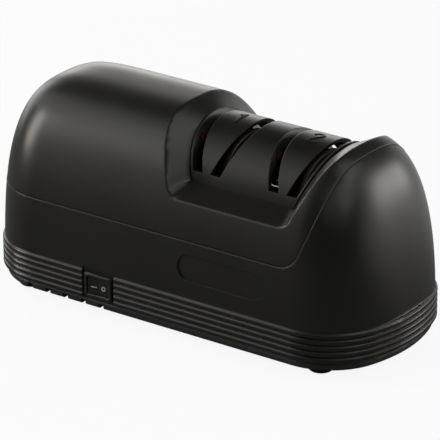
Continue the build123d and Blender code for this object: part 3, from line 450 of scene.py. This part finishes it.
metals = {
    "groundSteel": {"colour": (0.55, 0.55, 0.56), "second": (0.66, 0.66, 0.68), "roughness": (0.18, 0.32),
                    "stretch": (6, 1, 1), "lineScale": 900.0, "relief": 0.2},
    "platedSheet": {"colour": (0.42, 0.42, 0.43), "second": (0.5, 0.5, 0.52), "roughness": (0.3, 0.45),
                    "stretch": (1, 1, 1), "lineScale": 300.0, "relief": 0.15},
    "sinteredBronze": {"colour": (0.45, 0.28, 0.12), "second": (0.55, 0.36, 0.17), "roughness": (0.35, 0.5),
                       "stretch": (1, 1, 1), "lineScale": 1500.0, "relief": 0.5},
    "leafBrown": {"colour": (0.03, 0.012, 0.008), "second": (0.048, 0.02, 0.013), "roughness": (0.3, 0.42),
                  "stretch": (1, 1, 8), "lineScale": 200.0, "relief": 0.2},
}
discGrit = {"colour": (0.07, 0.05, 0.042), "second": (0.12, 0.09, 0.078), "roughness": (0.4, 0.6),
            "cellScale": 1800.0, "cloudScale": 90.0, "metal": 0.8, "relief": 0.5, "depth": 0.05 * mm}
coilCopper = {"colour": (0.5, 0.2, 0.09), "second": (0.75, 0.36, 0.2), "roughness": 0.35,
              "wireScale": 260.0, "waver": 1.5, "relief": 0.8, "depth": 0.2 * mm}
finishes = {name: mouldedPlastic(name, look) for name, look in plastics.items()}
finishes.update({name: turnedMetal(name, look) for name, look in metals.items()})
finishes["discGrit"] = grittyDisc("discGrit", discGrit)
finishes["coilCopper"] = woundCopper("coilCopper", coilCopper)

slotFinish = {
    "housing": "housingBlack", "base": "baseBlack", "feet": "footRubber", "leaf_steel": "leafBrown",
    "steel": "groundSteel", "abrasive": "discGrit", "coupling": "footRubber", "bronze": "sinteredBronze",
    "chassis": "chassisGrey", "screws": "platedSheet", "motor_steel": "platedSheet", "magnets": "ferriteGrey",
    "end_cap": "endCapIvory", "carbon": "ferriteGrey", "copper": "coilCopper", "fan": "chassisGrey",
    "switch": "switchBlack", "board": "boardBrown", "capacitor": "capacitorAmber",
}
pieceFinish = {"upper_cover": "coverBlack", "slot_cover": "drumBlack"}
nodeSlots = {entry["node"]: entry["material_slot"] for entry in frame["record"]["subparts"]}


def dress(piece, finish):
    piece.data.materials.clear()
    piece.data.materials.append(finishes[finish])


for nodeName, nodeObject in nodes.items():
    dress(nodeObject, slotFinish[nodeSlots[nodeName]])
print("finishes made:", len(finishes))

# the moulded shells, shaded with their true surface normals; lengths in millimetres, as in the CAD

bodyForm = {
    "length": 206.0, "width": 90.2, "height": 94.0, "cornerRadius": 31.8, "noseRadius": 75.5,
    "proud": 0.9,                                  # ribs, in front of the wall
    "base": 6.7,                                   # where the walls start
    "crownPower": 2.9,
    "left": (11.6, 2.0), "right": (11.3, 1.18),    # how late and how roundly the roof falls at each end
    "collar": 20.85,                               # top of the ribbed band
    "shaftZ": 61.8, "drumRadius": 27.8, "drumWall": 2.0,
    "ledgeZ": 67.3, "ledgeSlope": 20.0,
    "pillDepth": 0.8,
}
shellRules = {
    "merge": 1e-6, "collapse": 1e-7,               # metres
    "sharpAngle": 32.0,
    "near": 0.5, "facing": 0.94,                   # how well a corner has to fit the known surface
    "far": 9.0,                                    # distance given to what a guide leaves alone
    "gradientStep": 0.02, "ledgeNear": 0.02, "collarSlack": 0.02,
}


def planHalfWidth(x, inset):
    # straight side, then corner arc, then nose arc, by distance from the middle
    f = bodyForm
    a, b = f["length"] / 2 - inset, f["width"] / 2 - inset
    corner, nose = f["cornerRadius"] - inset, f["noseRadius"] - inset
    cy = b - corner
    cx = a - nose + math.sqrt((nose - corner)**2 - cy**2)
    turn = math.atan2(cy, cx - (a - nose))
    x = np.minimum(np.abs(x), a - 1e-6)            # just inside the end
    onCorner = cy + np.sqrt(np.maximum(corner**2 - (x - cx)**2, 0))
    onNose = np.sqrt(np.maximum(nose**2 - (x - a + nose)**2, 1e-9))
    return np.where(x <= cx, b, np.where(x <= a - nose + nose * math.cos(turn), onCorner, onNose))


def crownHeight(x, inset):
    # full height times a softened drop towards the nearer end
    f = bodyForm
    share = np.clip(np.abs(x) / (f["length"] / 2 - inset), 0, 1 - 1e-9)
    full = f["height"] + f["proud"] - inset - f["base"]
    left = (1 - share**f["left"][0])**(1 / f["left"][1])
    right = (1 - share**f["right"][0])**(1 / f["right"][1])
    return full * np.where(x < 0, left, right)


def loafField(p, inset):
    # |y / half width|^k + (height / crown height)^k - 1: below zero inside the loaf
    k = bodyForm["crownPower"]
    w, h = planHalfWidth(p[:, 0], inset), crownHeight(p[:, 0], inset)
    return np.abs(p[:, 1] / w)**k + (np.maximum(p[:, 2] - bodyForm["base"], 0) / h)**k - 1


def loafGradient(p, inset):
    # central differences of the field along each axis
    step = shellRules["gradientStep"]
    slope = np.empty_like(p)
    for axis in range(3):
        nudge = np.zeros(3)
        nudge[axis] = step
        slope[:, axis] = (loafField(p + nudge, inset) - loafField(p - nudge, inset)) / (2 * step)
    return slope


def drumGradient(p):
    # straight away from the disc shaft, (0, y, z - z0)
    return np.stack([np.zeros(len(p)), p[:, 1], p[:, 2] - bodyForm["shaftZ"]], 1)


def unit(v):
    return v / np.maximum(np.linalg.norm(v, axis=1, keepdims=True), 1e-12)


def weightedCorners(twin):
    # corner normals in which each face counts by its area, so long thin facets don't pull a large one
    weigh = twin.modifiers.new("weigh", "WEIGHTED_NORMAL")
    weigh.mode = "FACE_AREA"
    weigh.keep_sharp = True
    weighed = twin.evaluated_get(bpy.context.evaluated_depsgraph_get()).to_mesh()
    corner = readField(weighed.corner_normals, "vector", 3)
    twin.modifiers.remove(weigh)
    return corner


def readField(items, field, parts=1, kind=float):
    # one row for each item of a mesh, with its field in it
    values = np.empty(len(items) * parts, kind)
    items.foreach_get(field, values)
    return values.reshape(-1, parts) if parts > 1 else values


def smoothTwin(nodeName, guides, rules):
    # a merged copy of the CAD mesh; corners on a known curved surface take that surface's own normal
    source = nodes[nodeName]
    mesh = source.data.copy()
    mesh.name = nodeName + "Shell"
    work = bmesh.new()
    work.from_mesh(mesh)
    bmesh.ops.remove_doubles(work, verts=work.verts, dist=rules["merge"])
    bmesh.ops.dissolve_degenerate(work, edges=work.edges, dist=rules["collapse"])
    work.to_mesh(mesh)
    work.free()
    mesh.shade_smooth()
    mesh.set_sharp_from_angle(angle=math.radians(rules["sharpAngle"]))
    twin = linkPiece(nodeName + "Shell", mesh)
    mesh.update()
    corner = weightedCorners(twin)
    at = (readField(mesh.vertices, "co", 3) / mm)[readField(mesh.loops, "vertex_index", kind=int)]
    total = readField(mesh.polygons, "loop_total", kind=int)
    faceOf = np.repeat(np.arange(len(total)), total)
    faceNormal = readField(mesh.polygons, "normal", 3)[faceOf]
    for guide in guides:
        away, direction = guide(at)
        facing = (direction * faceNormal).sum(1)
        near = (away < rules["near"]) & (np.abs(facing) > rules["facing"])
        whole = np.bincount(faceOf, near, len(total)) == total      # every corner of the face lies on it
        pick = whole[faceOf]
        corner[pick] = (direction * np.sign(facing)[:, None])[pick]
    mesh.normals_split_custom_set(corner.tolist())
    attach(twin, source["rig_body"])
    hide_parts(nodeName)
    return twin


def loafGuide(inset, low, high):
    # holds inside the box from low to high only
    def guide(p):
        slope = loafGradient(p, inset)
        size = np.linalg.norm(slope, axis=1)
        away = np.abs(loafField(p, inset)) / np.maximum(size, 1e-9)
        away[((p < low) | (p > high)).any(1)] = shellRules["far"]
        return away, unit(slope)
    return guide


def drumGuide(radius):
    def guide(p):
        slope = drumGradient(p)
        away = np.abs(np.linalg.norm(slope, axis=1) - radius)
        return away, unit(slope)
    return guide


def ledgeGuide():
    # two planes that fall outwards from the disc cover, z = z0 - (|y| - y0) tan slope
    f = bodyForm
    slope = math.radians(f["ledgeSlope"])
    inner = math.sqrt(f["drumRadius"]**2 - (f["ledgeZ"] - f["shaftZ"])**2)

    def guide(p):
        away = (p[:, 2] - f["ledgeZ"] + (np.abs(p[:, 1]) - inner) * math.tan(slope)) * math.cos(slope)
        away = np.where(np.abs(away) < shellRules["ledgeNear"], 0.0, shellRules["far"])
        direction = np.stack([0 * away, np.sign(p[:, 1]) * math.sin(slope), np.full(len(p), math.cos(slope))], 1)
        return away, direction
    return guide


guideBoxes = {
    "wall": ((-200, -200, bodyForm["collar"] - shellRules["collarSlack"]), (200, 200, 200)),    # above the ribs
    "pill": ((5, -60, 25), (60, -40, 45)),    # round the recess in the front
}
wallGuide = loafGuide(bodyForm["proud"], *guideBoxes["wall"])
pillGuide = loafGuide(bodyForm["proud"] + bodyForm["pillDepth"], *guideBoxes["pill"])
drumGuides = [drumGuide(bodyForm["drumRadius"]), drumGuide(bodyForm["drumRadius"] - bodyForm["drumWall"])]
shells = {
    "upper_cover": [wallGuide, ledgeGuide()],
    "lower_housing": [wallGuide, pillGuide],
    "slot_cover": drumGuides,
    "base_plate": [], "rubber_feet": [], "switch_body": [], "switch_rocker": [], "cord_inlet": [],
    "coarse_disc_left": [], "coarse_disc_right": [], "fine_disc_left": [], "fine_disc_right": [],
    "wheel_shaft": [],
}
for nodeName, guides in shells.items():
    twin = smoothTwin(nodeName, guides, shellRules)
    dress(twin, pieceFinish.get(nodeName, slotFinish[nodeSlots[nodeName]]))
print("shells smoothed:", len(shells))

# disc springs, each cut into two halves at the middle of the shaft

springDiscs = {
    "coarse_spring": {"Left": "coarse_disc_left", "Right": "coarse_disc_right"},
    "fine_spring": {"Left": "fine_disc_left", "Right": "fine_disc_right"},
}


def addSpringHalf(nodeName, side):
    source = nodes[nodeName]
    low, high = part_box(nodeName)
    middle = Vector(((low[0] + high[0]) / 2, 0, bodyForm["shaftZ"] * mm))
    outward = Vector((1 if side == "Right" else -1, 0, 0))
    work = bmesh.new()
    work.from_mesh(source.data)
    bmesh.ops.remove_doubles(work, verts=work.verts, dist=shellRules["merge"])
    bmesh.ops.bisect_plane(work, geom=work.verts[:] + work.edges[:] + work.faces[:], plane_co=middle,
                           plane_no=outward, clear_inner=True)
    mesh = bpy.data.meshes.new(nodeName + side)
    work.to_mesh(mesh)
    work.free()
    mesh.shade_smooth()
    half = linkPiece(nodeName + side, mesh)
    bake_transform(half)
    dress(half, slotFinish[nodeSlots[nodeName]])
    return half


for nodeName, discs in springDiscs.items():
    halves = [addSpringHalf(nodeName, side) for side, disc in discs.items()]
    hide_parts(nodeName)
print("springs split")

# beads swept along a path: seam lip, digits, switch frame and switch marks

roundSection = {"steps": 12, "capSteps": 5, "tip": 0.999}    # a rounded end stops just short of its point


def sweptBead(name, path, outward, halfWidth, rise, closed):
    # p(s) + across(s) a cos v + outward(s) b sin v; a and b shrink as sqrt(1 - t^2) over rounded ends
    along = np.roll(path, -1, 0) - np.roll(path, 1, 0) if closed else np.gradient(path, axis=0)
    along, outward = unit(along), unit(outward)
    scale = np.ones(len(path))
    if not closed:
        t = np.sin(np.linspace(0, math.pi / 2, roundSection["capSteps"] + 1)[1:]) * roundSection["tip"]
        head = path[:1] - along[:1] * (t[::-1, None] * halfWidth)
        tail = path[-1:] + along[-1:] * (t[:, None] * halfWidth)
        path = np.concatenate([head, path, tail])
        along, outward = (np.pad(rows, ((len(t), len(t)), (0, 0)), "edge") for rows in (along, outward))
        fade = np.sqrt(1 - t**2)
        scale = np.concatenate([fade[::-1], scale, fade])
    across = unit(np.cross(along, outward))
    v = np.linspace(0, 2 * math.pi, roundSection["steps"], endpoint=False)
    a, b = halfWidth * scale, rise * scale
    points = (path[:, None] + across[:, None] * (a[:, None] * np.cos(v))[..., None]
              + outward[:, None] * (b[:, None] * np.sin(v))[..., None])
    mesh = meshFromGrid(name, points * mm, closeU=closed, closeV=True)
    mesh.shade_smooth()
    return mesh


def joinMeshes(name, meshes):
    work = bmesh.new()
    for mesh in meshes:
        work.from_mesh(mesh)
        bpy.data.meshes.remove(mesh)
    joined = bpy.data.meshes.new(name)
    work.to_mesh(joined)
    work.free()
    return joined


def addBeads(name, meshes, carrier, finish):
    piece = linkPiece(name, joinMeshes(name, meshes))
    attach(piece, nodes[carrier]["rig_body"])
    dress(piece, finish)


seamLip = {
    "z": 46.1, "gap": 0.3, "startX": -110.0, "cornerX": 61.2, "cornerRadius": 11.0,
    "lean": 22.0, "topLean": 6.0, "rise": 36.0,
    "halfWidth": 0.2, "height": 0.12, "steps": 700,
    "profileSteps": (400, 60, 120), "fineSteps": 20000,    # level, corner and rise; and all of it once more
}


def seamProfile(look):
    # seen from the front: a level line, a round corner, then a rise whose lean eases off along a wide arc
    lean, topLean = math.radians(look["lean"]), math.radians(look["topLean"])
    z, radius = look["z"] + look["gap"] / 2, look["cornerRadius"] - look["gap"] / 2
    levelSteps, cornerSteps, riseSteps = look["profileSteps"]
    level = np.stack([np.linspace(look["startX"], look["cornerX"], levelSteps), np.full(levelSteps, z)], 1)
    turn = np.linspace(0, math.pi / 2 - lean, cornerSteps)[1:]
    corner = np.stack([look["cornerX"] + radius * np.sin(turn), z + radius - radius * np.cos(turn)], 1)
    share = np.linspace(0, 1, riseSteps)[1:, None]
    ease = lean + (topLean - lean) * share
    reach = look["rise"] / math.cos((lean + topLean) / 2)
    steps = np.concatenate([np.sin(ease), np.cos(ease)], 1) * reach / len(share)
    return np.concatenate([level, corner, corner[-1:] + np.cumsum(steps, 0)])


def seamLoop(look):
    # the profile laid on the loaf, y = w (1 - (h / H)^k)^(1/k), front half then rear half
    inset, k = bodyForm["proud"], bodyForm["crownPower"]
    profile = seamProfile(look)
    fine = np.linspace(0, len(profile) - 1, look["fineSteps"])
    x, z = (np.interp(fine, np.arange(len(profile)), column) for column in profile.T)
    share = ((z - bodyForm["base"]) / np.maximum(crownHeight(x, inset), 1e-6))**k
    inside = (share < 1) & (np.abs(x) < bodyForm["length"] / 2 - inset)
    x, z, share = x[inside], z[inside], share[inside]
    y = planHalfWidth(x, inset) * (1 - share)**(1 / k)
    half = np.stack([x, -y, z], 1)
    loop = np.concatenate([half, half[::-1] * (1, -1, 1)])
    run = np.concatenate([[0], np.cumsum(np.linalg.norm(np.diff(loop, axis=0), axis=1))])
    even = np.linspace(0, run[-1], look["steps"], endpoint=False)
    return np.stack([np.interp(even, run, loop[:, axis]) for axis in range(3)], 1)


seamPath = seamLoop(seamLip)
seamOut = unit(loafGradient(seamPath, bodyForm["proud"]))
# the lip's lighter colour is a painted highlight along the seam
addBeads("seamLip", [sweptBead("seam", seamPath, seamOut, seamLip["halfWidth"], seamLip["height"], True)],
         "lower_housing", "seamBlack")
print("seam laid")

digits = {
    "oneX": 12.7, "twoX": 52.3, "halfHeight": 4.4, "halfWidth": 0.76, "height": 0.32,
    "oneStem": 0.5, "oneFlag": (-1.3, 1.8),                            # end of its flag: across, and below the top
    "twoBow": 2.2, "twoSweep": (165, -38), "twoFoot": (-2.3, 2.4),     # radius, degrees, and ends of the foot
}


def line(a, b, count=24):
    t = np.linspace(0, 1, count)[:, None]
    return np.array(a) * (1 - t) + np.array(b) * t


def arc(centre, radius, start, end, count=40):
    turn = np.radians(np.linspace(start, end, count))
    return np.stack([centre[0] + radius * np.cos(turn), centre[1] + radius * np.sin(turn)], 1)


def onDrum(strokes, middleX, look):
    # u runs along the drum, v round it: (x, R sin(v / R), z + R cos(v / R))
    meshes, radius = [], bodyForm["drumRadius"]
    for stroke in strokes:
        turn = stroke[:, 1] / radius
        outward = np.stack([np.zeros_like(turn), np.sin(turn), np.cos(turn)], 1)
        axis = np.stack([stroke[:, 0] + middleX, 0 * turn, 0 * turn + bodyForm["shaftZ"]], 1)
        path = axis + outward * radius
        meshes.append(sweptBead("stroke", path, outward, look["halfWidth"], look["height"], False))
    return meshes


def strokesOfOne(look):
    stem, tall, (flagX, flagDrop) = look["oneStem"], look["halfHeight"], look["oneFlag"]
    return [line((stem, -tall), (stem, tall)), line((stem, tall), (flagX, tall - flagDrop))]


def strokesOfTwo(look):
    tall, bow, (left, right) = look["halfHeight"], look["twoBow"], look["twoFoot"]
    top = arc((0, tall - bow), bow, *look["twoSweep"])
    return [np.concatenate([top, line(top[-1], (left, -tall))[1:]]), line((left, -tall), (right, -tall))]


# raised strokes on the drum, coloured darker than it as painted shade
digitMeshes = (onDrum(strokesOfOne(digits), digits["oneX"], digits)
               + onDrum(strokesOfTwo(digits), digits["twoX"], digits))
addBeads("drumDigits", digitMeshes, "slot_cover", "digitBlack")
print("digits laid")

switchLook = {
    "x": -32.2, "z": 13.5, "bezelY": -44.6,
    "frameHalf": (6.6, 4.8), "frameRound": 1.3, "frameHalfWidth": 0.85, "frameHeight": 0.42,
    "cornerSteps": 10, "sideSteps": 14,
    "rockerHalf": 5.2, "proud": 0.05, "dish": 0.6, "pivot": 3.6, "throw": 5.0,
    "markAt": 2.4, "markZ": -0.3, "markHalfWidth": 0.24, "markHeight": 0.05,
    "dash": 1.25, "ring": 0.92, "ringSteps": 48,
}


def framePath(look):
    # a rectangle with round corners, in the plane of the wall
    a, b = look["frameHalf"]
    r = look["frameRound"]
    corners = [((a - r, b - r), 0), ((-a + r, b - r), 90), ((-a + r, -b + r), 180), ((a - r, -b + r), 270)]
    flat = []
    for i, (centre, start) in enumerate(corners):
        bend = arc(centre, r, start, start + 90, look["cornerSteps"])
        after, turn = corners[(i + 1) % 4]
        flat += [bend, line(bend[-1], arc(after, r, turn, turn, 1)[0], look["sideSteps"])[1:-1]]
    flat = np.concatenate(flat)
    return np.stack([flat[:, 0] + look["x"], np.full(len(flat), look["bezelY"]), flat[:, 1] + look["z"]], 1)


def onRocker(flat, look):
    # the face is a shallow V, y = d (1 - |s| / w), turned about the pivot behind it
    s, rise = flat[:, 0], flat[:, 1]
    slope = look["dish"] / look["rockerHalf"]
    y = look["bezelY"] - look["proud"] + look["dish"] - slope * np.abs(s)
    pivotY = look["bezelY"] + look["pivot"]
    turn = math.radians(look["throw"])
    c, d = math.cos(turn), math.sin(turn)
    local = np.stack([s, y - pivotY, rise + look["z"]], 1)
    outward = np.stack([-np.sign(s) * slope, np.full_like(s, -1.0), np.zeros_like(s)], 1)
    spin = np.array([[c, d, 0], [-d, c, 0], [0, 0, 1]])
    return local @ spin + (look["x"], pivotY, 0), outward @ spin


def switchFrame(look):
    path = framePath(look)
    outward = np.tile((0.0, -1.0, 0.0), (len(path), 1))
    return sweptBead("frame", path, outward, look["frameHalfWidth"], look["frameHeight"], True)


def switchMarks(look):
    at, z, size = look["markAt"], look["markZ"], (look["markHalfWidth"], look["markHeight"])
    dash = line((-at - look["dash"], z), (-at + look["dash"], z))
    ring = arc((at, z), look["ring"], 0, 360, look["ringSteps"] + 1)[:-1]
    return [sweptBead("dash", *onRocker(dash, look), *size, False),
            sweptBead("ring", *onRocker(ring, look), *size, True)]


addBeads("switchFrame", [switchFrame(switchLook)], "switch_body", "switchBlack")
addBeads("switchMarks", switchMarks(switchLook), "switch_rocker", "markGrey")
print("switch marked")

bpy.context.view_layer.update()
